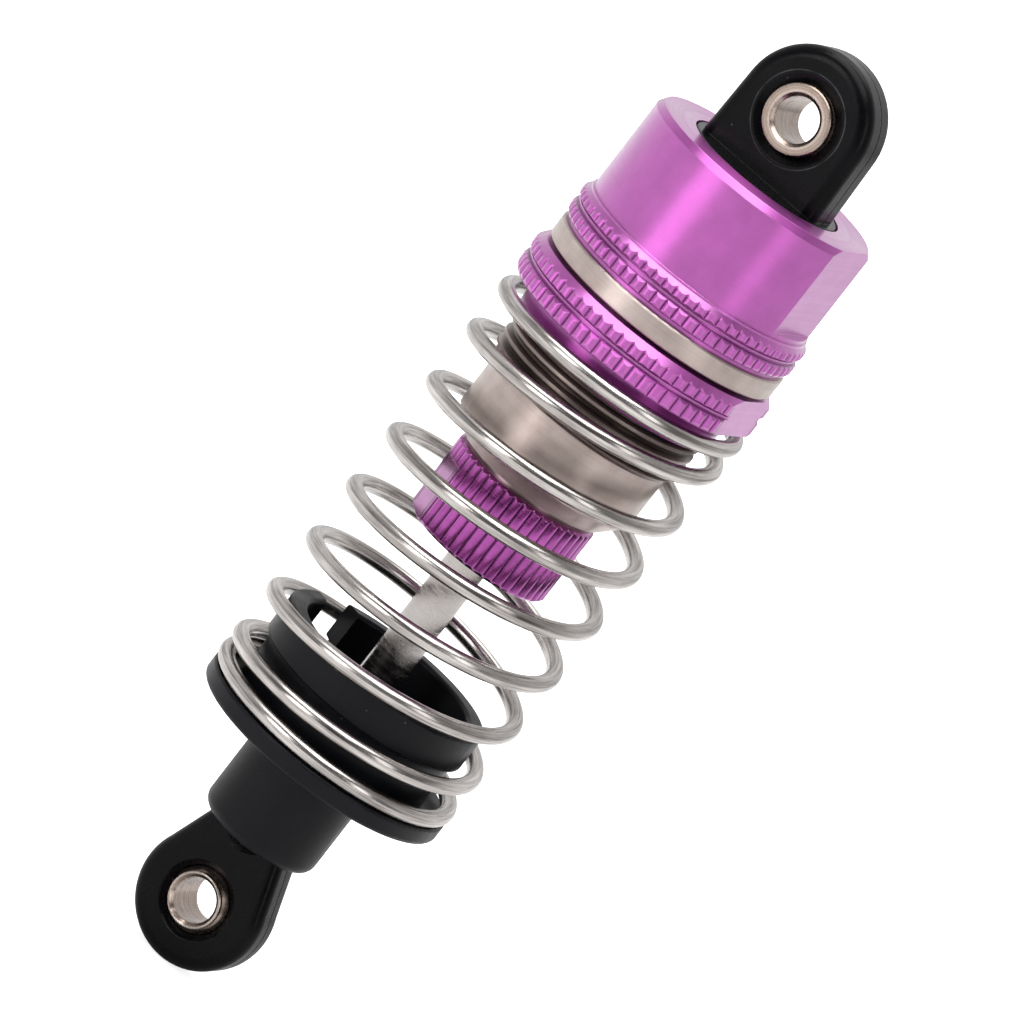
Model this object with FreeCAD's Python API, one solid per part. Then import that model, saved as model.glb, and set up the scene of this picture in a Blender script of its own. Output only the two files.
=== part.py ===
"""Coil-over-oil shock absorber for a 1/10 scale model car.

The shock stands upright: +Z runs along its axis from the lower eye to the upper eye, and both eye bores
run along Y. The origin is the centre of the lower eye's bore. All sizes are in millimetres.
"""
import FreeCAD, Part
import math
import os

from FreeCAD import Vector

# ---- driving dimensions -------------------------------------------------------------------------
EYE_TO_EYE = 68.0            # lower bore centre to upper bore centre, shock fully extended
RUNNING_GAP = 0.05           # radial clearance where one piece turns or slides in another

# pivot balls and their eyes
PIVOT_BORE_RADIUS = 1.6      # clears an M3 screw
PIVOT_CHAMFER = 0.25
TOP_BALL_RADIUS = 3.2
TOP_BALL_COLLAR_RADIUS = 2.46
TOP_BALL_HALF_WIDTH = 2.55
BOTTOM_BALL_RADIUS = 2.75
BOTTOM_BALL_COLLAR_RADIUS = 2.0
BOTTOM_BALL_HALF_WIDTH = 2.2
MOULD_LINE = 0.06            # depth and half width of the mould's parting line round each eye
TOP_EYE_ARCH_RADIUS = 4.95
TOP_EYE_ARCH_RISE = 0.25     # the arch is struck a little above the ball's centre
TOP_EYE_FOOT_HALF_WIDTH = 5.15
TOP_EYE_HALF_THICKNESS = 2.2
TOP_EYE_ROUND = 1.0
TOP_EYE_MOUTH_RADIUS = 3.16
TOP_EYE_MOUTH_DEPTH = 0.25
TOP_EYE_DISC_RADIUS = 5.8    # the round foot that shows in the cap's hole
TOP_EYE_PLUG_RADIUS = 6.87
TOP_EYE_PLUG_BASE = 58.22
ROD_END_EYE_RADIUS = 4.93
ROD_END_HALF_THICKNESS = 1.75
ROD_END_ROUND = 0.95
ROD_END_MOUTH_RADIUS = 2.85
ROD_END_MOUTH_DEPTH = 0.37
ROD_END_WEB_START = 2.0      # height where the eye's round outline turns into the straight web
ROD_END_WEB_HALF_WIDTH = 3.25
ROD_END_SHANK_RADIUS = 3.2
ROD_END_SHANK_TOP = 12.95

# cap
CAP_TOP = 63.4
CAP_BOTTOM = 53.16
CAP_RADIUS = 8.8
CAP_KNURL_RADIUS = 9.29
CAP_FLAT_DISTANCE = 8.14     # axis to the wrench flat
CAP_FLAT_BOTTOM = 56.35
CAP_PLATE_BOTTOM = 62.15
CAP_PLATE_HOLE_RADIUS = 5.92

# shock body
BODY_RING_RADIUS = 9.19
BODY_RING_BOTTOM = 51.6
THREAD_RADIUS = 7.68
THREAD_ROOT_RADIUS = 7.27
THREAD_PITCH = 0.86
THREAD_BOTTOM = 42.9
BODY_RADIUS = 7.09
BODY_CONE_TOP = 38.7
BODY_BOTTOM = 37.3
BODY_BOTTOM_RADIUS = 5.75
BODY_NECK_RADIUS = 7.65
BODY_NECK_TOP = 57.45
CYLINDER_RADIUS = 6.1
CYLINDER_FLOOR = 39.3
STUB_RADIUS = 4.7
STUB_BOTTOM = 33.05
SEAL_CAVITY_RADIUS = 3.45
SEAL_CAVITY_TOP = 38.3

# adjuster collar
COLLAR_TOP = 51.35
COLLAR_SEAT = 48.45          # the face that the spring bears on
COLLAR_BOTTOM = 46.27
COLLAR_RADIUS = 9.76
COLLAR_BOSS_RADIUS = 8.05
COLLAR_FLAT_DISTANCE = 9.08

# knurling of cap and collar
KNURL_COUNT = 64
KNURL_DEPTH = 0.18
KNURL_CONE_HEIGHT = 0.57     # cone that each knurl ends in at the top

# seal cap
SEAL_CAP_TOP = 36.9
SEAL_CAP_BOTTOM = 30.94
SEAL_CAP_FLOOR = 33.0
SEAL_CAP_RADIUS = 5.59
SEAL_CAP_RIBS = 44
SEAL_CAP_RIB_DEPTH = 0.18
SEAL_CAP_FLAT_DISTANCE = 5.24
SEAL_CAP_FLAT_TOP = 35.5
SEAL_CAP_FLAT_DIRECTION = 38.0   # degrees from +X; the second flat is opposite

# rod and piston
ROD_RADIUS = 1.5
ROD_BOTTOM = 6.5
ROD_TOP = 43.0
PISTON_RADIUS = CYLINDER_RADIUS - RUNNING_GAP
PISTON_BOTTOM = 39.95
PISTON_TOP = 41.75
PISTON_HOLE_RADIUS = 0.6
PISTON_HOLE_CIRCLE = 3.8
CLIP_THICKNESS = 0.4
CLIP_RADIUS = 2.7
CLIP_GROOVE_RADIUS = 1.1
LOWER_CLIP_BOTTOM = PISTON_BOTTOM - RUNNING_GAP - CLIP_THICKNESS
UPPER_CLIP_BOTTOM = PISTON_TOP + RUNNING_GAP

# spring cup
CUP_RIM = 20.97
CUP_LIP_BOTTOM = 18.2
CUP_LIP_RADIUS = 8.12
CUP_WALL_RADIUS = 7.6
CUP_INSIDE_RADIUS = 6.7
CUP_FLOOR = 16.5
CUP_SEAT = 14.42             # the face that the spring stands on
CUP_FLANGE_BOTTOM = 13.04
CUP_FLANGE_RADIUS = 9.7
CUP_NECK_RADIUS = 4.46
CUP_BOTTOM = 5.66
CUP_SLOT_WIDTH = 3.3
CUP_SLOT_DIRECTION = 155.0   # degrees from +X

# spring
WIRE_RADIUS = 0.6
SPRING_RADIUS = 9.25         # axis of the shock to the centre of the wire
SPRING_PITCH = 4.54          # advance per turn in the open middle coils
# turns from the spring's end, and the advance per turn there
SPRING_LOWER_END = ((0.0, 0.05), (0.5, 0.05), (0.65, 2.9), (1.4, 2.9), (1.7, SPRING_PITCH))
SPRING_UPPER_END = ((0.0, 0.8), (0.35, 0.8), (1.7, SPRING_PITCH))
SPRING_END_GAP = 0.03
SPRING_START_DIRECTION = 162.0

ORIGIN = Vector(0, 0, 0)
UP = Vector(0, 0, 1)


# ---- shape helpers ------------------------------------------------------------------------------
def corner_arc(before, corner, after, radius):
    """Arc that rounds the corner between two straight runs, with its first and last points."""
    back = (before - corner).normalize()
    ahead = (after - corner).normalize()
    half_angle = back.getAngle(ahead) / 2
    setback = radius / math.tan(half_angle)
    start = corner + back * setback
    end = corner + ahead * setback
    inward = (back + ahead).normalize()
    middle = corner + inward * (radius / math.sin(half_angle) - radius)
    return Part.Arc(start, middle, end).toShape(), start, end


def outline(corners):
    """Closed wire in the XZ plane through corners (x, z) or (x, z, rounding radius)."""
    points = [Vector(corner[0], 0, corner[1]) for corner in corners]
    stretches = []
    for number, corner in enumerate(corners):
        point = points[number]
        if len(corner) == 3:
            following = points[(number + 1) % len(points)]
            stretches.append(corner_arc(points[number - 1], point, following, corner[2]))
        else:
            stretches.append((None, point, point))
    edges = []
    for number, (arc, start, end) in enumerate(stretches):
        previous_end = stretches[number - 1][2]
        if previous_end.distanceToPoint(start) > 1e-7:
            edges.append(Part.LineSegment(previous_end, start).toShape())
        if arc:
            edges.append(arc)
    return Part.Wire(edges)


def turned(corners):
    """Solid of revolution about Z from corners (radius, z) or (radius, z, rounding radius)."""
    return Part.Face(outline(corners)).revolve(ORIGIN, UP, 360)


def rod_shape(radius, bottom, top):
    return Part.makeCylinder(radius, top - bottom, Vector(0, 0, bottom))


def around_axis(radius, angle, height):
    return Vector(radius * math.cos(angle), radius * math.sin(angle), height)


def ribbed_bar(radius, depth, count, bottom, top):
    """Upright bar whose side is a row of rounded ribs that meet in sharp valleys."""
    step = 2 * math.pi / count
    edges = []
    for number in range(count):
        valley = around_axis(radius - depth, number * step, bottom)
        crest = around_axis(radius, (number + 0.5) * step, bottom)
        next_valley = around_axis(radius - depth, (number + 1) % count * step, bottom)
        edges.append(Part.Arc(valley, crest, next_valley).toShape())
    return Part.Face(Part.Wire(edges)).extrude(UP * (top - bottom))


def with_flat(shape, distance, bottom, top, direction=0.0):
    """Shape with a flat cut on its side at the given distance from the axis, facing the direction
    given in degrees from +X."""
    reach = 20.0
    block = Part.makeBox(reach, 2 * reach, top - bottom, Vector(distance, -reach, bottom))
    block.rotate(ORIGIN, UP, direction)
    return shape.cut(block)


def clip_ring(bottom):
    """Spring-steel E-clip: a flat ring, open on one side, round the rod's groove."""
    opening = 1.7
    ring = rod_shape(CLIP_RADIUS, bottom, bottom + CLIP_THICKNESS)
    ring = ring.cut(rod_shape(CLIP_GROOVE_RADIUS, bottom, bottom + CLIP_THICKNESS))
    gap = Part.makeBox(CLIP_RADIUS, opening, CLIP_THICKNESS, Vector(0, -opening / 2, bottom))
    return ring.cut(gap)


# ---- pivot balls and eyes -----------------------------------------------------------------------
def along_y(shape, height):
    """Shape made about Z at the origin, turned to lie along Y at the given height."""
    shape.rotate(ORIGIN, Vector(1, 0, 0), 90)
    shape.translate(Vector(0, 0, height))
    return shape


def pivot_ball(radius, collar_radius, half_width, height):
    """Steel ball with a short collar on each side and a chamfered through bore along Y."""
    bore = PIVOT_BORE_RADIUS
    flare = bore + PIVOT_CHAMFER
    inner_width = half_width - PIVOT_CHAMFER
    edge = 0.08
    collar = turned([(0, -half_width), (collar_radius - edge, -half_width),
                     (collar_radius, edge - half_width), (collar_radius, half_width - edge),
                     (collar_radius - edge, half_width), (0, half_width)])
    hole = turned([(0, -half_width), (flare, -half_width), (bore, -inner_width),
                   (bore, inner_width), (flare, half_width), (0, half_width)])
    slab = rod_shape(radius, -half_width, half_width)
    ball = Part.makeSphere(radius).common(slab)
    return along_y(ball.fuse(collar).cut(hole), height)


def ball_socket(ball_radius, mouth_radius, mouth_depth, half_thickness, height):
    """Space that a pivot ball snaps into: its sphere, and a tapered mouth on each side along Y."""
    sphere_radius = ball_radius + RUNNING_GAP
    throat = half_thickness - mouth_depth
    throat_radius = math.sqrt(sphere_radius ** 2 - throat ** 2) - 0.02
    reach = half_thickness + 1.0
    mouth = turned([(0, -reach), (mouth_radius, -reach), (mouth_radius, -half_thickness),
                    (throat_radius, -throat), (throat_radius, throat),
                    (mouth_radius, half_thickness), (mouth_radius, reach), (0, reach)])
    return along_y(Part.makeSphere(sphere_radius).fuse(mouth), height)


def eye_blade(edges, half_thickness, rounding, plain_height):
    """Flat moulding with the given outline in the XZ plane, its rims rounded and a fine parting line
    round its edge. The straight end that lies at plain_height stays sharp."""
    wire = Part.Wire(edges)
    blade = Part.Face(wire).extrude(Vector(0, 2 * half_thickness, 0))
    blade.translate(Vector(0, -half_thickness, 0))
    rims = [edge for edge in blade.Edges
            if edge.BoundBox.YLength < 1e-6 and abs(edge.CenterOfMass.z - plain_height) > 0.01]
    blade = blade.makeFillet(rounding, rims)
    across = Vector(0, 2 * MOULD_LINE, 0)
    inside = Part.Face(wire.makeOffset2D(-MOULD_LINE)).extrude(across)
    outside = Part.Face(wire.makeOffset2D(1.0)).extrude(across)
    groove = outside.cut(inside)
    groove.translate(Vector(0, -MOULD_LINE, 0))
    return blade.cut(groove)


def make_top_ball():
    return pivot_ball(TOP_BALL_RADIUS, TOP_BALL_COLLAR_RADIUS, TOP_BALL_HALF_WIDTH, EYE_TO_EYE)


def make_bottom_ball():
    return pivot_ball(BOTTOM_BALL_RADIUS, BOTTOM_BALL_COLLAR_RADIUS, BOTTOM_BALL_HALF_WIDTH, 0.0)


def make_top_eye():
    """Moulded arch over the pivot ball, on a round foot that is clamped inside the cap."""
    arch_height = EYE_TO_EYE + TOP_EYE_ARCH_RISE
    arch = TOP_EYE_ARCH_RADIUS
    foot_height = CAP_TOP - 1.0
    foot_left = Vector(-TOP_EYE_FOOT_HALF_WIDTH, 0, foot_height)
    foot_right = Vector(TOP_EYE_FOOT_HALF_WIDTH, 0, foot_height)
    arch_left = Vector(-arch, 0, arch_height)
    arch_right = Vector(arch, 0, arch_height)
    edges = [Part.LineSegment(foot_left, foot_right).toShape(),
             Part.LineSegment(foot_right, arch_right).toShape(),
             Part.Arc(arch_right, Vector(0, 0, arch_height + arch), arch_left).toShape(),
             Part.LineSegment(arch_left, foot_left).toShape()]
    blade = eye_blade(edges, TOP_EYE_HALF_THICKNESS, TOP_EYE_ROUND, foot_height)
    hollow_radius = 5.6
    hollow_top = 61.0
    base = turned([(0, hollow_top), (hollow_radius, hollow_top), (hollow_radius, TOP_EYE_PLUG_BASE),
                   (TOP_EYE_PLUG_RADIUS, TOP_EYE_PLUG_BASE), (TOP_EYE_PLUG_RADIUS, CAP_PLATE_BOTTOM),
                   (TOP_EYE_DISC_RADIUS, CAP_PLATE_BOTTOM), (TOP_EYE_DISC_RADIUS, CAP_TOP, 0.15),
                   (0, CAP_TOP)])
    socket = ball_socket(TOP_BALL_RADIUS, TOP_EYE_MOUTH_RADIUS, TOP_EYE_MOUTH_DEPTH,
                         TOP_EYE_HALF_THICKNESS, EYE_TO_EYE)
    return base.fuse(blade).cut(socket).removeSplitter()


def make_rod_end():
    """Moulded lower eye, whose web widens into a round shank that is screwed onto the rod and carries
    the spring cup."""
    radius = ROD_END_EYE_RADIUS
    web_top = CUP_BOTTOM - RUNNING_GAP
    web_start = math.sqrt(radius ** 2 - ROD_END_WEB_START ** 2)
    start_right = Vector(web_start, 0, ROD_END_WEB_START)
    start_left = Vector(-web_start, 0, ROD_END_WEB_START)
    top_right = Vector(ROD_END_WEB_HALF_WIDTH, 0, web_top)
    top_left = Vector(-ROD_END_WEB_HALF_WIDTH, 0, web_top)
    edges = [Part.LineSegment(top_left, top_right).toShape(),
             Part.LineSegment(top_right, start_right).toShape(),
             Part.Arc(start_right, Vector(0, 0, -radius), start_left).toShape(),
             Part.LineSegment(start_left, top_left).toShape()]
    blade = eye_blade(edges, ROD_END_HALF_THICKNESS, ROD_END_ROUND, web_top)
    flare_bottom = Vector(1.6, 0, 4.1)
    flare_middle = Vector(2.15, 0, 5.05)
    flare_top = Vector(ROD_END_SHANK_RADIUS, 0, CUP_BOTTOM)
    shank_top = Vector(ROD_END_SHANK_RADIUS, 0, ROD_END_SHANK_TOP)
    axis_top = Vector(0, 0, ROD_END_SHANK_TOP)
    axis_bottom = Vector(0, 0, flare_bottom.z)
    profile = Part.Wire([Part.LineSegment(axis_bottom, flare_bottom).toShape(),
                         Part.Arc(flare_bottom, flare_middle, flare_top).toShape(),
                         Part.LineSegment(flare_top, shank_top).toShape(),
                         Part.LineSegment(shank_top, axis_top).toShape(),
                         Part.LineSegment(axis_top, axis_bottom).toShape()])
    shank = Part.Face(profile).revolve(ORIGIN, UP, 360)
    socket = ball_socket(BOTTOM_BALL_RADIUS, ROD_END_MOUTH_RADIUS, ROD_END_MOUTH_DEPTH,
                         ROD_END_HALF_THICKNESS, 0.0)
    screw_hole = rod_shape(ROD_RADIUS, ROD_BOTTOM, ROD_END_SHANK_TOP + 1)
    return blade.fuse(shank).cut(socket).cut(screw_hole).removeSplitter()


# ---- cap and what it closes in ------------------------------------------------------------------
def make_cap():
    """Anodised cap: plain barrel with a wrench flat above two rows of knurling."""
    knurl = CAP_KNURL_RADIUS
    valley = knurl - KNURL_DEPTH
    groove_radius = valley - 0.17
    rib_radius = valley - 0.03
    land_radius = 8.9
    row_bottom = 53.5
    groove_bottom = 54.52
    groove_top = 54.88
    shoulder = 56.0
    bore_radius = BODY_NECK_RADIUS + 2 * RUNNING_GAP
    step_height = TOP_EYE_PLUG_BASE + 0.03
    plug_radius = TOP_EYE_PLUG_RADIUS + RUNNING_GAP
    core = turned([(bore_radius, CAP_BOTTOM), (land_radius - 0.06, CAP_BOTTOM),
                   (land_radius - 0.06, row_bottom), (groove_radius, row_bottom),
                   (groove_radius, 54.66), (rib_radius, 54.69), (rib_radius, 54.77),
                   (groove_radius, 54.8), (groove_radius, shoulder), (CAP_RADIUS, shoulder),
                   (CAP_RADIUS, CAP_TOP - 0.5), (CAP_RADIUS - 0.34, CAP_TOP),
                   (CAP_PLATE_HOLE_RADIUS, CAP_TOP),
                   (CAP_PLATE_HOLE_RADIUS, CAP_PLATE_BOTTOM), (plug_radius, CAP_PLATE_BOTTOM),
                   (plug_radius, step_height), (bore_radius, step_height)])
    inside = groove_radius - 0.4
    rows = turned([(inside, row_bottom), (valley, row_bottom), (knurl, row_bottom + 0.28),
                   (knurl, groove_bottom - 0.25), (valley, groove_bottom),
                   (groove_radius, groove_bottom), (groove_radius, groove_top),
                   (valley, groove_top), (knurl, groove_top + 0.15),
                   (knurl, shoulder - KNURL_CONE_HEIGHT), (CAP_RADIUS, shoulder),
                   (inside, shoulder)])
    rows = rows.common(ribbed_bar(knurl, KNURL_DEPTH, KNURL_COUNT, row_bottom, shoulder))
    cap = core.fuse(rows)
    return with_flat(cap, CAP_FLAT_DISTANCE, CAP_FLAT_BOTTOM, CAP_TOP).removeSplitter()


def make_cap_oring():
    return Part.makeTorus(7.27, 0.45, Vector(0, 0, 55.1), UP)


def make_bladder():
    """Rubber diaphragm: a flat rim clamped between body and eye foot, with a dome above the oil."""
    rim_bottom = BODY_NECK_TOP + 0.02
    rim_top = TOP_EYE_PLUG_BASE - 0.02
    dome_top = 60.4
    dome_radius = 5.3
    wall = 0.5
    return turned([(0, dome_top), (dome_radius, dome_top, 1.2), (dome_radius, rim_top),
                   (7.6, rim_top), (7.6, rim_bottom), (dome_radius - wall, rim_bottom),
                   (dome_radius - wall, dome_top - wall, 0.7), (0, dome_top - wall)])


# ---- shock body ---------------------------------------------------------------------------------
def thread_groove():
    """Helical groove between the ridges of the thread that the adjuster collar screws along."""
    root_half_width = 0.1
    flank_slope = 0.55
    outside = THREAD_RADIUS + 0.15
    outside_half_width = root_half_width + flank_slope * (outside - THREAD_ROOT_RADIUS)
    start = THREAD_BOTTOM - 1.0
    helix = Part.makeHelix(THREAD_PITCH, BODY_RING_BOTTOM - 0.1 - start, THREAD_ROOT_RADIUS)
    profile = Part.makePolygon([
        Vector(THREAD_ROOT_RADIUS, 0, -root_half_width), Vector(outside, 0, -outside_half_width),
        Vector(outside, 0, outside_half_width), Vector(THREAD_ROOT_RADIUS, 0, root_half_width),
        Vector(THREAD_ROOT_RADIUS, 0, -root_half_width)])
    groove = Part.Wire(helix).makePipeShell([profile], True, True)
    groove.translate(Vector(0, 0, start))
    return groove


def make_shock_body():
    """Turned aluminium cylinder: neck for the cap, stop ring, thread, barrel and seal housing."""
    oring_groove = turned([(6.82, 54.6), (9.0, 54.6), (9.0, 55.6), (6.82, 55.6)])
    rod_hole_radius = ROD_RADIUS + 2 * RUNNING_GAP
    ring_edge = 0.12
    body = turned([(rod_hole_radius, SEAL_CAVITY_TOP), (SEAL_CAVITY_RADIUS, SEAL_CAVITY_TOP),
                   (SEAL_CAVITY_RADIUS, STUB_BOTTOM), (STUB_RADIUS - 0.2, STUB_BOTTOM),
                   (STUB_RADIUS, STUB_BOTTOM + 0.2), (STUB_RADIUS, BODY_BOTTOM),
                   (BODY_BOTTOM_RADIUS, BODY_BOTTOM), (BODY_RADIUS, BODY_CONE_TOP),
                   (BODY_RADIUS, THREAD_BOTTOM - 0.1), (THREAD_RADIUS, THREAD_BOTTOM + 0.4),
                   (THREAD_RADIUS, BODY_RING_BOTTOM), (BODY_RING_RADIUS - ring_edge, BODY_RING_BOTTOM),
                   (BODY_RING_RADIUS, BODY_RING_BOTTOM + ring_edge),
                   (BODY_RING_RADIUS, CAP_BOTTOM - ring_edge), (BODY_RING_RADIUS - ring_edge, CAP_BOTTOM),
                   (BODY_NECK_RADIUS, CAP_BOTTOM), (BODY_NECK_RADIUS, BODY_NECK_TOP - 0.2),
                   (BODY_NECK_RADIUS - 0.2, BODY_NECK_TOP), (CYLINDER_RADIUS, BODY_NECK_TOP),
                   (CYLINDER_RADIUS, CYLINDER_FLOOR), (rod_hole_radius, CYLINDER_FLOOR)])
    return body.cut(oring_groove).cut(thread_groove())


# ---- adjuster collar ----------------------------------------------------------------------------
def make_adjuster_collar():
    """Knurled nut on the body's thread: its lower boss centres the spring."""
    knurl = COLLAR_RADIUS
    valley = knurl - KNURL_DEPTH
    groove_radius = valley - 0.17
    rib_radius = valley - 0.03
    top_edge = 9.31
    bore_radius = THREAD_RADIUS + 0.07
    groove_bottom = 49.71
    groove_top = 50.03
    oring_groove = turned([(bore_radius - 0.1, 49.45), (8.55, 49.45), (8.55, 50.35),
                           (bore_radius - 0.1, 50.35)])
    core = turned([(bore_radius, COLLAR_BOTTOM), (COLLAR_BOSS_RADIUS - 0.1, COLLAR_BOTTOM),
                   (COLLAR_BOSS_RADIUS, COLLAR_BOTTOM + 0.25), (COLLAR_BOSS_RADIUS, COLLAR_SEAT),
                   (groove_radius, COLLAR_SEAT), (groove_radius, 49.83), (rib_radius, 49.86),
                   (rib_radius, 49.95), (groove_radius, 49.98), (groove_radius, 51.2),
                   (top_edge, COLLAR_TOP), (bore_radius, COLLAR_TOP)])
    inside = groove_radius - 0.4
    rows = turned([(inside, COLLAR_SEAT), (valley, COLLAR_SEAT), (knurl, COLLAR_SEAT + 0.3),
                   (knurl, groove_bottom - 0.3), (valley, groove_bottom),
                   (groove_radius, groove_bottom), (groove_radius, groove_top),
                   (valley, groove_top), (knurl, groove_top + 0.15),
                   (knurl, COLLAR_TOP - KNURL_CONE_HEIGHT), (top_edge, COLLAR_TOP),
                   (inside, COLLAR_TOP)])
    rows = rows.common(ribbed_bar(knurl, KNURL_DEPTH, KNURL_COUNT, COLLAR_SEAT, COLLAR_TOP))
    collar = core.fuse(rows).cut(oring_groove)
    return with_flat(collar, COLLAR_FLAT_DISTANCE, COLLAR_SEAT, COLLAR_TOP).removeSplitter()


def make_adjuster_oring():
    return Part.makeTorus(8.12, 0.4, Vector(0, 0, 49.9), UP)


# ---- spring -------------------------------------------------------------------------------------
def spring_rise(turns, end_profile):
    """Height gained over the given number of turns, counted from a spring end."""
    rise = 0.0
    for (start, pitch), (stop, next_pitch) in zip(end_profile, end_profile[1:]):
        length = stop - start
        passed = min(max(turns - start, 0.0), length)
        rise += passed * pitch + (next_pitch - pitch) / length * passed ** 2 / 2
    return rise + max(turns - end_profile[-1][0], 0.0) * SPRING_PITCH


def make_spring():
    """Right-handed compression spring with closed ends, between the cup's flange and the collar."""
    lowest = CUP_SEAT + WIRE_RADIUS + SPRING_END_GAP
    highest = COLLAR_SEAT - WIRE_RADIUS - SPRING_END_GAP
    end_turns = SPRING_LOWER_END[-1][0]
    end_rise = spring_rise(end_turns, SPRING_LOWER_END) + spring_rise(end_turns, SPRING_UPPER_END)
    turns = 2 * end_turns + (highest - lowest - end_rise) / SPRING_PITCH
    points_per_turn = 24
    count = round(turns * points_per_turn)
    points = []
    for number in range(count + 1):
        turn = turns * number / count
        if turn < turns / 2:
            height = lowest + spring_rise(turn, SPRING_LOWER_END)
        else:
            height = highest - spring_rise(turns - turn, SPRING_UPPER_END)
        angle = math.radians(SPRING_START_DIRECTION) + 2 * math.pi * turn
        points.append(around_axis(SPRING_RADIUS, angle, height))
    curve = Part.BSplineCurve()
    curve.interpolate(points)
    tangent = curve.tangent(curve.FirstParameter)[0]
    section = Part.Wire(Part.makeCircle(WIRE_RADIUS, points[0], tangent))
    return Part.Wire(curve.toShape()).makePipeShell([section], True, True)


# ---- rod, piston and seals ----------------------------------------------------------------------
def make_piston_rod():
    """Polished steel rod with a groove for the clip on each side of the piston."""
    rod = turned([(0, ROD_BOTTOM), (ROD_RADIUS - 0.2, ROD_BOTTOM), (ROD_RADIUS, ROD_BOTTOM + 0.2),
                  (ROD_RADIUS, ROD_TOP - 0.2), (ROD_RADIUS - 0.2, ROD_TOP), (0, ROD_TOP)])
    for bottom in (LOWER_CLIP_BOTTOM, UPPER_CLIP_BOTTOM):
        groove = turned([(CLIP_GROOVE_RADIUS, bottom), (2.0, bottom), (2.0, bottom + CLIP_THICKNESS),
                         (CLIP_GROOVE_RADIUS, bottom + CLIP_THICKNESS)])
        rod = rod.cut(groove)
    return rod


def make_piston():
    """Moulded piston with oil holes round the rod."""
    piston = turned([(ROD_RADIUS + 0.03, PISTON_BOTTOM), (PISTON_RADIUS - 0.2, PISTON_BOTTOM),
                     (PISTON_RADIUS, PISTON_BOTTOM + 0.2), (PISTON_RADIUS, PISTON_TOP - 0.2),
                     (PISTON_RADIUS - 0.2, PISTON_TOP), (ROD_RADIUS + 0.03, PISTON_TOP)])
    hole_count = 4
    for number in range(hole_count):
        hole = rod_shape(PISTON_HOLE_RADIUS, PISTON_BOTTOM - 1, PISTON_TOP + 1)
        hole.translate(Vector(PISTON_HOLE_CIRCLE, 0, 0))
        hole.rotate(ORIGIN, UP, number * 360 / hole_count)
        piston = piston.cut(hole)
    return piston


def make_piston_clip_lower():
    return clip_ring(LOWER_CLIP_BOTTOM)


def make_piston_clip_upper():
    return clip_ring(UPPER_CLIP_BOTTOM)


def seal_washer(bottom, top, inner_radius):
    """Flat ring that fills the seal housing round the rod."""
    ring = rod_shape(SEAL_CAVITY_RADIUS - 0.02, bottom, top)
    return ring.cut(rod_shape(inner_radius, bottom, top))


def make_rod_guide():
    return seal_washer(37.5, SEAL_CAVITY_TOP - 0.02, ROD_RADIUS + 0.03)


def make_oring_spacer():
    return seal_washer(34.9, 35.6, ROD_RADIUS + RUNNING_GAP)


def rod_oring(height):
    return Part.makeTorus(2.46, 0.93, Vector(0, 0, height), UP)


def make_rod_oring_lower():
    return rod_oring(33.95)


def make_rod_oring_upper():
    return rod_oring(36.55)


def make_seal_cap():
    """Knurled cap that holds the rod seals in the lower end of the body, with two wrench flats."""
    edge = 0.25
    rod_hole = ROD_RADIUS + 2 * RUNNING_GAP
    stub_bore = STUB_RADIUS + RUNNING_GAP
    blank = turned([(rod_hole, SEAL_CAP_BOTTOM), (SEAL_CAP_RADIUS - edge, SEAL_CAP_BOTTOM),
                    (SEAL_CAP_RADIUS, SEAL_CAP_BOTTOM + edge), (SEAL_CAP_RADIUS, SEAL_CAP_TOP - edge),
                    (SEAL_CAP_RADIUS - edge, SEAL_CAP_TOP), (stub_bore, SEAL_CAP_TOP),
                    (stub_bore, SEAL_CAP_FLOOR), (rod_hole, SEAL_CAP_FLOOR)])
    cap = blank.common(ribbed_bar(SEAL_CAP_RADIUS, SEAL_CAP_RIB_DEPTH, SEAL_CAP_RIBS,
                                  SEAL_CAP_BOTTOM, SEAL_CAP_TOP))
    for direction in (SEAL_CAP_FLAT_DIRECTION, SEAL_CAP_FLAT_DIRECTION + 180.0):
        cap = with_flat(cap, SEAL_CAP_FLAT_DISTANCE, SEAL_CAP_BOTTOM, SEAL_CAP_FLAT_TOP, direction)
    return cap


# ---- spring cup ---------------------------------------------------------------------------------
def make_spring_cup():
    """Moulded lower spring seat that slips sideways over the rod through its slot, then drops on the
    rod end's shank."""
    neck_bore = ROD_END_SHANK_RADIUS + 0.08
    rod_hole = ROD_RADIUS + 0.08
    neck_floor = ROD_END_SHANK_TOP + RUNNING_GAP
    cup = turned([(neck_bore, CUP_BOTTOM), (CUP_NECK_RADIUS, CUP_BOTTOM, 0.9),
                  (CUP_NECK_RADIUS, CUP_FLANGE_BOTTOM, 0.4), (CUP_FLANGE_RADIUS, CUP_FLANGE_BOTTOM, 0.35),
                  (CUP_FLANGE_RADIUS, CUP_SEAT, 0.2), (CUP_WALL_RADIUS, CUP_SEAT, 0.15),
                  (CUP_WALL_RADIUS, CUP_LIP_BOTTOM - 0.1), (CUP_LIP_RADIUS, CUP_LIP_BOTTOM, 0.15),
                  (CUP_LIP_RADIUS, CUP_RIM, 0.3), (CUP_INSIDE_RADIUS, CUP_RIM, 0.3),
                  (CUP_INSIDE_RADIUS, CUP_FLOOR, 0.4), (rod_hole, CUP_FLOOR), (rod_hole, neck_floor),
                  (neck_bore, neck_floor)])
    slot = Part.makeBox(15.0, CUP_SLOT_WIDTH, CUP_RIM - CUP_BOTTOM + 2,
                        Vector(0, -CUP_SLOT_WIDTH / 2, CUP_BOTTOM - 1))
    slot.rotate(ORIGIN, UP, CUP_SLOT_DIRECTION)
    return cup.cut(slot)


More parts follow.
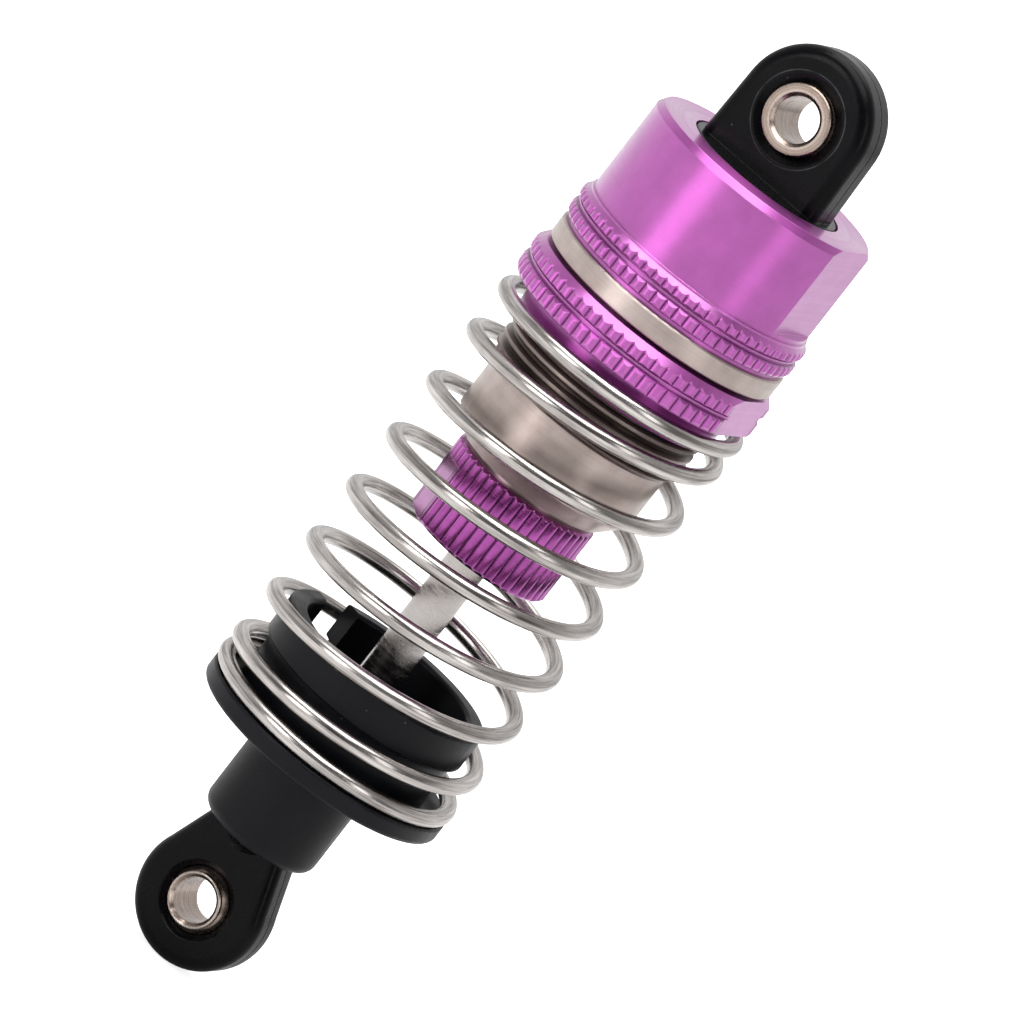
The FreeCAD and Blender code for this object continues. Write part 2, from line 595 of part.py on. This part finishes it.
PIECES = {
    "top_eye": make_top_eye,
    "top_ball": make_top_ball,
    "cap": make_cap,
    "cap_oring": make_cap_oring,
    "bladder": make_bladder,
    "shock_body": make_shock_body,
    "adjuster_collar": make_adjuster_collar,
    "adjuster_oring": make_adjuster_oring,
    "spring": make_spring,
    "piston": make_piston,
    "piston_clip_upper": make_piston_clip_upper,
    "piston_clip_lower": make_piston_clip_lower,
    "piston_rod": make_piston_rod,
    "seal_cap": make_seal_cap,
    "rod_guide": make_rod_guide,
    "rod_oring_upper": make_rod_oring_upper,
    "oring_spacer": make_oring_spacer,
    "rod_oring_lower": make_rod_oring_lower,
    "spring_cup": make_spring_cup,
    "rod_end": make_rod_end,
    "bottom_ball": make_bottom_ball,
}

os.makedirs("parts", exist_ok=True)
for name, make in PIECES.items():
    shape = make()
    box = shape.BoundBox
    print(f"{name:18s} solids {len(shape.Solids)} valid {shape.isValid()} volume {shape.Volume:9.2f} "
          f"z {box.ZMin:.2f} to {box.ZMax:.2f}")
    shape.exportStep(f"parts/{name}.step")
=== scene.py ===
import bpy
import math
import numpy as np
from mathutils import Matrix, Vector


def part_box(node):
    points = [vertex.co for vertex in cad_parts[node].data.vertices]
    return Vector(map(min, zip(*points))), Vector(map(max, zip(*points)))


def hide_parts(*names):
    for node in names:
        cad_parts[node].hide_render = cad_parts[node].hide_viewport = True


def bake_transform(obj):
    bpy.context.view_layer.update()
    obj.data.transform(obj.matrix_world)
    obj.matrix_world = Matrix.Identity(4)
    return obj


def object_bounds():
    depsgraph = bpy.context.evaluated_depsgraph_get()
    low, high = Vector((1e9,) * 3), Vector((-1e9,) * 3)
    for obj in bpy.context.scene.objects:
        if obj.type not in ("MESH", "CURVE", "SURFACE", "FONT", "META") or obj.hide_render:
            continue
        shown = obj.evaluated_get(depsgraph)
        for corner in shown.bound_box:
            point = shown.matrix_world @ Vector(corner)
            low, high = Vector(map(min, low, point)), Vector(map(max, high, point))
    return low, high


# Looks of a model car's coil-over shock absorber, built round its CAD frame. Lengths are in metres
# unless a name says otherwise.

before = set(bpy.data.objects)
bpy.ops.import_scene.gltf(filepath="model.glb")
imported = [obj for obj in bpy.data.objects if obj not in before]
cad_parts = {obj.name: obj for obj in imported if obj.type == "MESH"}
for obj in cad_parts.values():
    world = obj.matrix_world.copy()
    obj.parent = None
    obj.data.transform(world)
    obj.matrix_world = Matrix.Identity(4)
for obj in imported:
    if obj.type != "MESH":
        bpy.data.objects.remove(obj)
cad_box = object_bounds()

MM = 0.001
UP = Vector((0, 0, 1))


def centre(node):
    """Middle of a CAD node's box."""
    low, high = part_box(node)
    return (Vector(low) + Vector(high)) / 2


LOWER_EYE = centre("bottom_ball")
UPPER_EYE = centre("top_ball")

# ---- camera --------------------------------------------------------------------------------------
CAMERA_AZIMUTH = math.radians(18.0)
CAMERA_ELEVATION = math.radians(13.2)
CAMERA_ROLL = math.radians(37.78)      # the shock leans right in the picture
CAMERA_DISTANCE = 0.559
CAMERA_LENS = 292.0
AIM_RISE = 0.57 * MM                   # from the middle between the eyes
AIM_RIGHT = 0.22 * MM
AIM_DOWN = 0.17 * MM


def add_camera():
    """Long-lens camera. Returns the level directions from the shock towards the camera and to the left
    of it, and the point that the camera looks at."""
    flat = math.cos(CAMERA_ELEVATION)
    back = Vector((math.sin(CAMERA_AZIMUTH) * flat, -math.cos(CAMERA_AZIMUTH) * flat,
                   math.sin(CAMERA_ELEVATION)))
    level = (-back).to_track_quat("-Z", "Y").to_matrix()
    axes = level @ Matrix.Rotation(CAMERA_ROLL, 3, "Z")
    right, up = axes.col[0].copy(), axes.col[1].copy()
    aim = (LOWER_EYE + UPPER_EYE) / 2 + UP * AIM_RISE + right * AIM_RIGHT - up * AIM_DOWN
    camera = bpy.data.objects.new("camera", bpy.data.cameras.new("camera"))
    bpy.context.scene.collection.objects.link(camera)
    camera.matrix_world = Matrix.LocRotScale(aim + back * CAMERA_DISTANCE, axes, None)
    camera.data.lens = CAMERA_LENS
    camera.data.clip_start = 0.01
    camera.data.clip_end = 20.0
    bpy.context.scene.camera = camera
    front = Vector((back.x, back.y, 0)).normalized()
    return front, front.cross(UP), aim


FRONT, LEFT, AIM = add_camera()


# ---- shader helpers ------------------------------------------------------------------------------
FLAT_IN_Y = (1, 0, 1)
FLAT_IN_Z = (1, 1, 0)
FACE_AGREEMENT = 0.995                 # dot product of rounded and plain normal off an edge
EDGE_AGREEMENT = 0.86                  # and on it


def put(tree, kind, sockets=None, **properties):
    """Adds a shader node. sockets maps an input to a value, or to the output that feeds it."""
    made = tree.nodes.new("ShaderNode" + kind)
    for name, value in properties.items():
        setattr(made, name, value)
    for key, value in (sockets or {}).items():
        if isinstance(value, bpy.types.NodeSocket):
            tree.links.new(value, made.inputs[key])
        else:
            made.inputs[key].default_value = value
    return made


def new_material(name):
    material = bpy.data.materials.new(name)
    material.use_nodes = True
    material.node_tree.nodes.clear()
    return material, material.node_tree


def finish_material(tree, sockets):
    """Principled shader with the given inputs, wired to the material's output."""
    shader = put(tree, "BsdfPrincipled", sockets)
    put(tree, "OutputMaterial", {"Surface": shader.outputs["BSDF"]})


def place_mm(tree):
    """Surface point in the shock's own frame, in millimetres."""
    place = put(tree, "TexCoord").outputs["Object"]
    return put(tree, "VectorMath", {0: place, "Scale": 1 / MM}, operation="SCALE").outputs[0]


def stretched(tree, point, scale):
    return put(tree, "VectorMath", {0: point, 1: scale}, operation="MULTIPLY").outputs[0]


def part_of(tree, point, axis):
    """X, Y or Z of a point."""
    return put(tree, "SeparateXYZ", {0: point}).outputs[axis]


def distance_from(tree, point, flattening):
    """How far a point is from the axis along which flattening squashes it."""
    flat = stretched(tree, point, flattening)
    return put(tree, "VectorMath", {0: flat}, operation="LENGTH").outputs["Value"]


def noise(tree, point, scale, detail=3.0, roughness=0.55):
    sockets = {"Vector": point, "Scale": scale, "Detail": detail, "Roughness": roughness}
    return put(tree, "TexNoise", sockets).outputs[0]


def math_node(tree, operation, first, second=0.0):
    return put(tree, "Math", {0: first, 1: second}, operation=operation).outputs[0]


def product(tree, first, second):
    return math_node(tree, "MULTIPLY", first, second)


def weighed(tree, first, second, share):
    """Sum of the first value's part and the second's, which is share of the whole."""
    return math_node(tree, "ADD", product(tree, first, 1 - share), product(tree, second, share))


def spread(tree, value, low, high, to_low=0.0, to_high=1.0):
    """Value stretched from the range low to high on to another range, and held inside it."""
    made = put(tree, "MapRange", {"Value": value, "From Min": low, "From Max": high,
                                  "To Min": to_low, "To Max": to_high})
    return made.outputs[0]


def mixed(tree, share, first, second):
    """Colour between first and second, which are the Mix node's colour sockets A and B."""
    return put(tree, "Mix", {0: share, 6: first, 7: second}, data_type="RGBA").outputs[2]


def rgb(red, green, blue):
    return (red, green, blue, 1.0)


def bump(tree, height, depth_mm, normal=None):
    """Normal of a surface whose relief is height times depth_mm."""
    sockets = {"Height": height, "Strength": 1.0, "Distance": depth_mm * MM}
    if normal:
        sockets["Normal"] = normal
    return put(tree, "Bump", sockets).outputs[0]


def turned_point(tree, point):
    """Point by distance from the Z axis on faces across it and by height on barrels, so that noise on it
    makes turning marks."""
    normal = put(tree, "TexCoord").outputs["Normal"]
    across = math_node(tree, "ABSOLUTE", part_of(tree, normal, "Z"))
    along = math_node(tree, "SUBTRACT", 1.0, across)
    radius = product(tree, distance_from(tree, point, FLAT_IN_Z), across)
    height = product(tree, part_of(tree, point, "Z"), along)
    return put(tree, "CombineXYZ", {"X": radius, "Z": height}).outputs[0]


def from_bore(tree, point, middle):
    """Distance from the bore along Y through middle, and distance along it."""
    offset = put(tree, "VectorMath", {0: point, 1: middle / MM}, operation="SUBTRACT").outputs[0]
    return distance_from(tree, offset, FLAT_IN_Y), part_of(tree, offset, "Y")


def edges(tree, radius_mm):
    """Rounded normal at sharp edges, and a mask that is 1 on the edges."""
    rounded = put(tree, "Bevel", {"Radius": radius_mm * MM}, samples=4).outputs[0]
    plain = put(tree, "NewGeometry").outputs["Normal"]
    agreement = put(tree, "VectorMath", {0: rounded, 1: plain}, operation="DOT_PRODUCT")
    return rounded, spread(tree, agreement.outputs["Value"], FACE_AGREEMENT, EDGE_AGREEMENT)


# ---- metals --------------------------------------------------------------------------------------
def in_grooves(tree, point, bottom, top, root, crest):
    """Mask for painted shade: 1 at the root radius of the grooves between two heights, falling to 0 at the
    crest radius.
    """
    radius = distance_from(tree, point, FLAT_IN_Z)
    height = part_of(tree, point, "Z")
    depth = spread(tree, radius, root, crest, 1.0, 0.0)
    for operation, value, limit in (("GREATER_THAN", radius, root), ("GREATER_THAN", height, bottom),
                                    ("LESS_THAN", height, top)):
        depth = product(tree, depth, math_node(tree, operation, value, limit))
    return depth


def turned_metal(name, grooves, dark, light, edge_wear_and_highlight, groove_shade_tint, roughness, anisotropy, coat):
    """Anodised aluminium with fine turning marks round the Z axis. Its edges are paler, partly from wear
    and partly as a painted edge highlight, and painted shade darkens the roots of its grooves. grooves are
    what in_grooves takes, in millimetres."""
    material, tree = new_material(name)
    point = place_mm(tree)
    turned = turned_point(tree, point)
    fine = noise(tree, turned, scale=11.0, roughness=0.6)
    coarse = noise(tree, turned, scale=1.6, detail=2.0)
    cloud = noise(tree, point, scale=0.45)
    tone = weighed(tree, fine, cloud, 0.6)
    colour = mixed(tree, spread(tree, tone, 0.3, 0.7), dark, light)
    # edges turn paler in patches: partly wear, partly a painted edge highlight
    rounded, edge = edges(tree, 0.09)
    wear_and_highlight_share = product(tree, edge, spread(tree, noise(tree, point, scale=2.2), 0.35, 0.6, 0.35))
    colour = mixed(tree, wear_and_highlight_share, colour, edge_wear_and_highlight)
    # painted shade: the roots of the grooves are darkened as if shadowed, and the same mask takes the coat
    # off there
    groove = in_grooves(tree, point, **grooves)
    colour = mixed(tree, groove, colour, groove_shade_tint)
    rough = spread(tree, math_node(tree, "ADD", fine, coarse), 0.8, 1.2, roughness - 0.05,
                   roughness + 0.06)
    finish_material(tree, {
        "Base Color": colour, "Metallic": 1.0, "Roughness": rough, "Anisotropic": anisotropy,
        "Anisotropic Rotation": 0.25,
        "Tangent": put(tree, "Tangent", direction_type="RADIAL", axis="Z").outputs[0],
        "Coat Weight": spread(tree, groove, 0.0, 1.0, coat, 0.0), "Coat Roughness": 0.22, "Coat IOR": 1.6,
        "Normal": bump(tree, fine, 0.0011, rounded)})
    return material


def ground_steel(name, dark, light, roughness):
    """Plain steel with a fine grain and faint grinding marks round the Z axis."""
    material, tree = new_material(name)
    point = place_mm(tree)
    grain = noise(tree, point, scale=7.0, detail=4.0, roughness=0.7)
    lines = noise(tree, stretched(tree, point, (0.15, 0.15, 1)), scale=4.0)
    tone = weighed(tree, grain, lines, 0.65)
    colour = mixed(tree, spread(tree, tone, 0.34, 0.66), dark, light)
    rough = spread(tree, lines, 0.3, 0.7, roughness - 0.06, roughness + 0.08)
    finish_material(tree, {"Base Color": colour, "Metallic": 1.0, "Roughness": rough,
                           "Normal": bump(tree, grain, 0.0015)})
    return material


def ball_steel(name, middle):
    """Nickel plate with marks turned round the bore, which lies along Y through middle."""
    material, tree = new_material(name)
    point = place_mm(tree)
    radius, depth = from_bore(tree, point, middle)
    turned = put(tree, "CombineXYZ", {"X": radius, "Y": depth}).outputs[0]
    marks = noise(tree, turned, scale=5.0, detail=4.0, roughness=0.7)
    stain = noise(tree, point, scale=1.4, detail=4.0, roughness=0.6)
    colour = mixed(tree, spread(tree, marks, 0.35, 0.65), rgb(0.16, 0.11, 0.085), rgb(0.46, 0.385, 0.34))
    colour = mixed(tree, spread(tree, stain, 0.5, 0.75, 0.0, 0.45), colour, rgb(0.22, 0.15, 0.11))
    rounded, edge = edges(tree, 0.08)
    # painted edge highlight: every sharp edge of the ball is lightened to pale steel
    colour = mixed(tree, edge, colour, rgb(0.7, 0.66, 0.62))
    finish_material(tree, {
        "Base Color": colour, "Metallic": 1.0, "Roughness": spread(tree, stain, 0.3, 0.7, 0.18, 0.32),
        "Normal": bump(tree, marks, 0.003, rounded)})
    return material


def spring_nickel():
    """Plated wire with drawing lines along it; wire_point is the point on the straight wire."""
    material, tree = new_material("spring_nickel")
    point = put(tree, "Attribute", attribute_name="wire_point").outputs["Vector"]
    lines = noise(tree, stretched(tree, point, (0.03, 1, 1)), scale=6.0, detail=4.0, roughness=0.65)
    broad = noise(tree, stretched(tree, point, (0.1, 1, 1)), scale=1.8)
    pits = noise(tree, point, scale=5.0, roughness=0.6)
    tone = weighed(tree, lines, broad, 0.5)
    colour = mixed(tree, spread(tree, tone, 0.38, 0.62), rgb(0.2, 0.18, 0.17), rgb(0.64, 0.605, 0.58))
    colour = mixed(tree, spread(tree, pits, 0.68, 0.76, 0.0, 0.4), colour, rgb(0.14, 0.12, 0.1))
    finish_material(tree, {"Base Color": colour, "Metallic": 1.0,
                           "Roughness": spread(tree, broad, 0.3, 0.7, 0.18, 0.28),
                           "Normal": bump(tree, lines, 0.005)})
    return material


# ---- plastics and rubber -------------------------------------------------------------------------
def mouth_edge_highlight(tree, point, middle, radius):
    """1 on a fine line of the given radius round the bore through middle: a painted highlight on the edge
    of the ball's mouth.
    """
    off_line = math_node(tree, "SUBTRACT", from_bore(tree, point, middle)[0], radius)
    line = spread(tree, math_node(tree, "ABSOLUTE", off_line), 0.06, 0.02)
    return product(tree, line, spread(tree, noise(tree, point, scale=0.7), 0.35, 0.6, 0.2))


def dust(tree, point):
    """1 on a few round specks."""
    cells = put(tree, "TexVoronoi", {"Vector": point, "Scale": 0.9})
    dot = spread(tree, cells.outputs["Distance"], 0.075, 0.04)
    chosen = put(tree, "SeparateColor", {0: cells.outputs["Color"]}).outputs[0]
    return product(tree, dot, math_node(tree, "GREATER_THAN", chosen, 0.8))


def moulded_plastic(name, dark, light, roughness, shine, rim_highlight=None):
    """Satin moulding: faint orange peel, scuffed edges, light scratches and specks of dust. The last
    argument is what the line function above takes, in millimetres, and paints a thin highlight round the
    edge of a ball's mouth."""
    material, tree = new_material(name)
    point = place_mm(tree)
    peel = noise(tree, point, scale=3.2, roughness=0.6)
    cloud = noise(tree, point, scale=0.35)
    scratch = noise(tree, stretched(tree, point, (5, 5, 0.6)), scale=1.5, detail=4.0, roughness=0.7)
    colour = mixed(tree, spread(tree, cloud, 0.35, 0.65), dark, light)
    rounded, edge = edges(tree, 0.08)
    scuff = product(tree, edge, spread(tree, noise(tree, point, scale=1.8), 0.4, 0.62))
    colour = mixed(tree, product(tree, scuff, 0.6), colour, rgb(0.05, 0.05, 0.056))
    # painted highlight: a thin pale ring round the edge of the ball's mouth
    if rim_highlight:
        pale = product(tree, mouth_edge_highlight(tree, point, **rim_highlight), 0.7)
        colour = mixed(tree, pale, colour, rgb(0.07, 0.07, 0.078))
    colour = mixed(tree, product(tree, dust(tree, point), 0.3), colour, rgb(0.3, 0.3, 0.31))
    rough = spread(tree, math_node(tree, "ADD", cloud, scratch), 0.75, 1.25, roughness - 0.07,
                   roughness + 0.1)
    relief = math_node(tree, "ADD", peel, product(tree, scratch, 0.4))
    finish_material(tree, {"Base Color": colour, "Roughness": rough, "Specular IOR Level": shine,
                           "Normal": bump(tree, relief, 0.004, rounded)})
    return material


def seal_rubber():
    material, tree = new_material("seal_rubber")
    point = place_mm(tree)
    grain = noise(tree, point, scale=5.0, detail=4.0, roughness=0.7)
    bloom = noise(tree, point, scale=0.9)
    colour = mixed(tree, spread(tree, bloom, 0.4, 0.7), rgb(0.012, 0.012, 0.012), rgb(0.04, 0.04, 0.042))
    finish_material(tree, {"Base Color": colour, "Roughness": spread(tree, grain, 0.3, 0.7, 0.5, 0.7),
                           "Normal": bump(tree, grain, 0.006)})
    return material


def white_plastic():
    material, tree = new_material("white_plastic")
    point = place_mm(tree)
    marks = noise(tree, turned_point(tree, point), scale=5.0)
    cloud = noise(tree, point, scale=0.5)
    colour = mixed(tree, spread(tree, cloud, 0.35, 0.65), rgb(0.62, 0.6, 0.54), rgb(0.78, 0.77, 0.72))
    finish_material(tree, {"Base Color": colour, "Roughness": spread(tree, marks, 0.3, 0.7, 0.32, 0.48),
                           "Subsurface Weight": 0.1, "Subsurface Scale": 0.5 * MM,
                           "Normal": bump(tree, marks, 0.003)})
    return material


# ---- spring --------------------------------------------------------------------------------------
WIRE_RADIUS = 0.6 * MM
SPRING_RADIUS = 9.25 * MM
SPRING_PITCH_MM = 4.54                 # advance per turn in the open middle coils
# turns from the spring's end, and the advance per turn there in millimetres
LOWER_END = ((0.0, 0.05), (0.5, 0.05), (0.65, 2.9), (1.4, 2.9), (1.7, SPRING_PITCH_MM))
UPPER_END = ((0.0, 0.8), (0.35, 0.8), (1.7, SPRING_PITCH_MM))
END_TURNS = 1.7
START_DIRECTION = math.radians(162.0)
SPRING_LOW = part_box("spring")[0][2] + WIRE_RADIUS
SPRING_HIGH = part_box("spring")[1][2] - WIRE_RADIUS
UPPER_TURNS = 3.0                      # turns that close up as the collar is screwed down
TURN_LENGTH = 2 * math.pi * SPRING_RADIUS
RINGS_PER_TURN = 120
POINTS_PER_RING = 32
AROUND = np.linspace(0, 2 * math.pi, POINTS_PER_RING, endpoint=False)
SHARP_ANGLE = math.radians(40.0)       # keeps the cut ends of the wire crisp


def rise(turns, end_profile):
    """Height gained over the given number of turns, counted from a spring end."""
    gained = np.maximum(turns - END_TURNS, 0) * SPRING_PITCH_MM
    for (start, pitch), (stop, next_pitch) in zip(end_profile, end_profile[1:]):
        passed = np.clip(turns - start, 0, stop - start)
        gained = gained + passed * pitch + (next_pitch - pitch) / (stop - start) * passed ** 2 / 2
    return gained * MM


SPRING_TURNS = 2 * END_TURNS + float(
    SPRING_HIGH - SPRING_LOW - rise(END_TURNS, LOWER_END) - rise(END_TURNS, UPPER_END)
) / (SPRING_PITCH_MM * MM)


def wire_height(turns):
    """Height of the wire's middle at the given turns from the spring's lower end."""
    from_low = SPRING_LOW + rise(turns, LOWER_END)
    from_high = SPRING_HIGH - rise(SPRING_TURNS - turns, UPPER_END)
    return np.where(turns < SPRING_TURNS / 2, from_low, from_high)


def pitch_mm(turns):
    """Slope of the wire, as the height that a whole turn at that slope would gain."""
    low = np.interp(turns, *zip(*LOWER_END))
    high = np.interp(SPRING_TURNS - turns, *zip(*UPPER_END))
    return np.where(turns < SPRING_TURNS / 2, low, high)


def wire_rings(turns):
    """Points of the wire, as a ring across it at each of the given turns."""
    direction = START_DIRECTION + 2 * math.pi * turns
    cosine, sine = np.cos(direction), np.sin(direction)
    outward = np.stack([cosine, sine, np.zeros(len(turns))], axis=1)
    middle = outward * SPRING_RADIUS
    middle[:, 2] = wire_height(turns)
    along = np.stack([-sine * TURN_LENGTH, cosine * TURN_LENGTH, pitch_mm(turns) * MM], axis=1)
    across = np.cross(along / np.linalg.norm(along, axis=1)[:, None], outward)
    return middle[:, None, :] + WIRE_RADIUS * (np.cos(AROUND)[None, :, None] * outward[:, None, :]
                                               + np.sin(AROUND)[None, :, None] * across[:, None, :])


def straight_rings(turns):
    """The same rings in millimetres on the wire drawn straight along X."""
    straight = np.empty((len(turns), POINTS_PER_RING, 3), np.float32)
    straight[:, :, 0] = (turns * TURN_LENGTH / MM)[:, None]
    straight[:, :, 1] = np.cos(AROUND) * WIRE_RADIUS / MM
    straight[:, :, 2] = np.sin(AROUND) * WIRE_RADIUS / MM
    return straight


def wire_faces(ring_count):
    """Both cut ends, and the quads between each ring and the next."""
    last_ring = (ring_count - 1) * POINTS_PER_RING
    faces = [tuple(range(POINTS_PER_RING)), tuple(reversed(range(last_ring, last_ring + POINTS_PER_RING)))]
    for start in range(0, last_ring, POINTS_PER_RING):
        for corner in range(POINTS_PER_RING):
            beside = (corner + 1) % POINTS_PER_RING
            faces.append((start + corner, start + POINTS_PER_RING + corner,
                          start + POINTS_PER_RING + beside, start + beside))
    return faces


def wire_piece(name, first_turn, last_turn):
    """Closed length of the spring's wire. Returns it with the turn that each of its rings is at."""
    turns = np.linspace(first_turn, last_turn, round((last_turn - first_turn) * RINGS_PER_TURN) + 1)
    faces = wire_faces(len(turns))
    mesh = bpy.data.meshes.new(name)
    mesh.from_pydata(wire_rings(turns).reshape(-1, 3).tolist(), [], faces)
    mesh.polygons.foreach_set("use_smooth", [True] * len(faces))
    mesh.set_sharp_from_angle(angle=SHARP_ANGLE)
    wire_point = mesh.attributes.new("wire_point", "FLOAT_VECTOR", "POINT")
    wire_point.data.foreach_set("vector", straight_rings(turns).ravel())
    piece = bpy.data.objects.new(name, mesh)
    bpy.context.scene.collection.objects.link(piece)
    return piece, turns


def add_spring(material):
    """Spring in two lengths that meet face to face. On the real shock the lower turns close up as the rod
    slides in, the upper ones as the collar is screwed down."""
    split = SPRING_TURNS - UPPER_TURNS
    lower, lower_turns = wire_piece("spring_lower", 0.0, split)
    upper, upper_turns = wire_piece("spring_upper", split, SPRING_TURNS)
    for piece in (lower, upper):
        piece.data.materials.append(material)
        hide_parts("spring")
    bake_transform(lower)
    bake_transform(upper)


# ---- lights and floor ----------------------------------------------------------------------------
FLOOR_RADIUS = 3.0
FLOOR_CORNERS = 64
LIGHT_REACH = 0.75                     # from the aim point to each light


def add_softbox(name, left, height, width, length, watts):
    """Area light that faces the shock from the given angle to the left of the camera and angle above the
    horizon, both in degrees."""
    side = math.radians(left)
    lift = math.radians(height)
    level = (FRONT * math.cos(side) + LEFT * math.sin(side)) * math.cos(lift)
    direction = level + UP * math.sin(lift)
    light = bpy.data.lights.new(name, "AREA")
    light.shape = "RECTANGLE"
    light.size = width
    light.size_y = length
    light.energy = watts
    box = bpy.data.objects.new(name, light)
    box.location = AIM + direction * LIGHT_REACH
    box.rotation_mode = "QUATERNION"
    box.rotation_quaternion = direction.to_track_quat("Z", "Y")
    box.visible_camera = False
    bpy.context.scene.collection.objects.link(box)


def add_surroundings():
    """Studio walls: white to the camera and behind the shock, greyer in front of it."""
    world = bpy.data.worlds.new("studio")
    bpy.context.scene.world = world
    world.use_nodes = True
    tree = world.node_tree
    tree.nodes.clear()
    direction = put(tree, "TexCoord").outputs["Generated"]
    front = put(tree, "VectorMath", {0: direction, 1: FRONT}, operation="DOT_PRODUCT")
    walls = mixed(tree, spread(tree, front.outputs["Value"], -0.6, 0.6), rgb(0.9, 0.9, 0.9),
                  rgb(0.16, 0.16, 0.165))
    seen = put(tree, "LightPath").outputs["Is Camera Ray"]
    colour = mixed(tree, seen, walls, rgb(1.0, 1.0, 1.0))
    shader = put(tree, "Background", {"Color": colour, "Strength": 1.0})
    put(tree, "OutputWorld", {"Surface": shader.outputs[0]})


def add_floor():
    """Plain pale floor that the lower eye stands on, bright enough to melt into the walls."""
    low = cad_box[0][2]
    turns = [2 * math.pi * corner / FLOOR_CORNERS for corner in range(FLOOR_CORNERS)]
    points = [(FLOOR_RADIUS * math.cos(turn), FLOOR_RADIUS * math.sin(turn), low) for turn in turns]
    mesh = bpy.data.meshes.new("floor")
    mesh.from_pydata(points, [], [tuple(range(FLOOR_CORNERS))])
    floor = bpy.data.objects.new("floor", mesh)
    bpy.context.scene.collection.objects.link(floor)
    material, tree = new_material("floor")
    pale = put(tree, "BsdfDiffuse", {"Color": rgb(0.76, 0.76, 0.76)}).outputs[0]
    glow = put(tree, "Emission", {"Color": rgb(1.0, 1.0, 1.0), "Strength": 0.8}).outputs[0]
    lit = put(tree, "AddShader", {0: pale, 1: glow}).outputs[0]
    seen = put(tree, "LightPath").outputs["Is Camera Ray"]
    shader = put(tree, "MixShader", {0: seen, 1: pale, 2: lit})
    put(tree, "OutputMaterial", {"Surface": shader.outputs[0]})
    mesh.materials.append(material)


# ---- scene ---------------------------------------------------------------------------------------
def dress_nodes():
    """Gives every CAD node its material."""
    purple = {"dark": rgb(0.4, 0.068, 0.355), "light": rgb(0.53, 0.1, 0.475),
              "edge_wear_and_highlight": rgb(0.66, 0.24, 0.6), "groove_shade_tint": rgb(0.08, 0.005, 0.07),
              "roughness": 0.35, "anisotropy": 0.85, "coat": 0.9}
    cap = turned_metal("cap_anodised", {"bottom": 53.3, "top": 55.4, "root": 9.1, "crest": 9.2}, **purple)
    collar = turned_metal("collar_anodised", {"bottom": 48.4, "top": 50.8, "root": 9.57, "crest": 9.67},
                          **purple)
    seal_cap = turned_metal(
        "seal_cap_anodised", {"bottom": 31.2, "top": 36.7, "root": 5.4, "crest": 5.52},
        dark=rgb(0.2, 0.024, 0.175), light=rgb(0.44, 0.08, 0.39), edge_wear_and_highlight=rgb(0.72, 0.36, 0.66),
        groove_shade_tint=rgb(0.04, 0.004, 0.035), roughness=0.22, anisotropy=0.5, coat=0.5)
    body = turned_metal(
        "grey_anodised", {"bottom": 42.8, "top": 51.55, "root": 7.2, "crest": 8.0},
        dark=rgb(0.35, 0.28, 0.25), light=rgb(0.56, 0.475, 0.445), edge_wear_and_highlight=rgb(0.68, 0.6, 0.57),
        groove_shade_tint=rgb(0.03, 0.017, 0.014), roughness=0.38, anisotropy=0.7, coat=0.2)
    rod = ground_steel("rod_steel", dark=rgb(0.36, 0.335, 0.32), light=rgb(0.5, 0.47, 0.45),
                       roughness=0.22)
    clip = ground_steel("clip_steel", dark=rgb(0.16, 0.16, 0.16), light=rgb(0.3, 0.3, 0.3),
                        roughness=0.35)
    black = {"dark": rgb(0.001, 0.001, 0.0014), "light": rgb(0.002, 0.0019, 0.0027),
             "roughness": 0.25, "shine": 0.1}
    # the top eye's plastic gets a painted highlight round the edge of its ball's mouth
    top_eye = moulded_plastic("top_eye_plastic", rim_highlight={"middle": UPPER_EYE, "radius": 3.35}, **black)
    rod_end = moulded_plastic("rod_end_plastic", **black)
    cup = moulded_plastic("cup_plastic", dark=rgb(0.0035, 0.0036, 0.005),
                          light=rgb(0.0055, 0.0056, 0.0078), roughness=0.38, shine=0.14)
    rubber = seal_rubber()
    white = white_plastic()
    looks = {
        "top_eye": top_eye, "rod_end": rod_end, "spring_cup": cup,
        "cap": cap, "adjuster_collar": collar, "seal_cap": seal_cap,
        "shock_body": body, "piston_rod": rod, "piston_clip_upper": clip, "piston_clip_lower": clip,
        "cap_oring": rubber, "adjuster_oring": rubber, "rod_oring_upper": rubber,
        "rod_oring_lower": rubber, "bladder": rubber, "piston": white, "rod_guide": white,
        "oring_spacer": white,
        "top_ball": ball_steel("top_ball_steel", UPPER_EYE),
        "bottom_ball": ball_steel("bottom_ball_steel", LOWER_EYE),
    }
    for node, material in looks.items():
        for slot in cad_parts[node].material_slots:
            slot.material = material


bpy.context.scene.view_settings.view_transform = "Standard"
dress_nodes()
add_spring(spring_nickel())
add_surroundings()
add_floor()
add_softbox("overhead_light", left=35.0, height=74.0, width=0.8, length=0.5, watts=6.5)
add_softbox("strip_light", left=39.0, height=16.0, width=0.28, length=0.4, watts=1.65)
add_softbox("right_light", left=-45.0, height=22.0, width=0.2, length=0.5, watts=0.8)
add_softbox("top_light", left=170.0, height=65.0, width=0.6, length=0.4, watts=2.0)
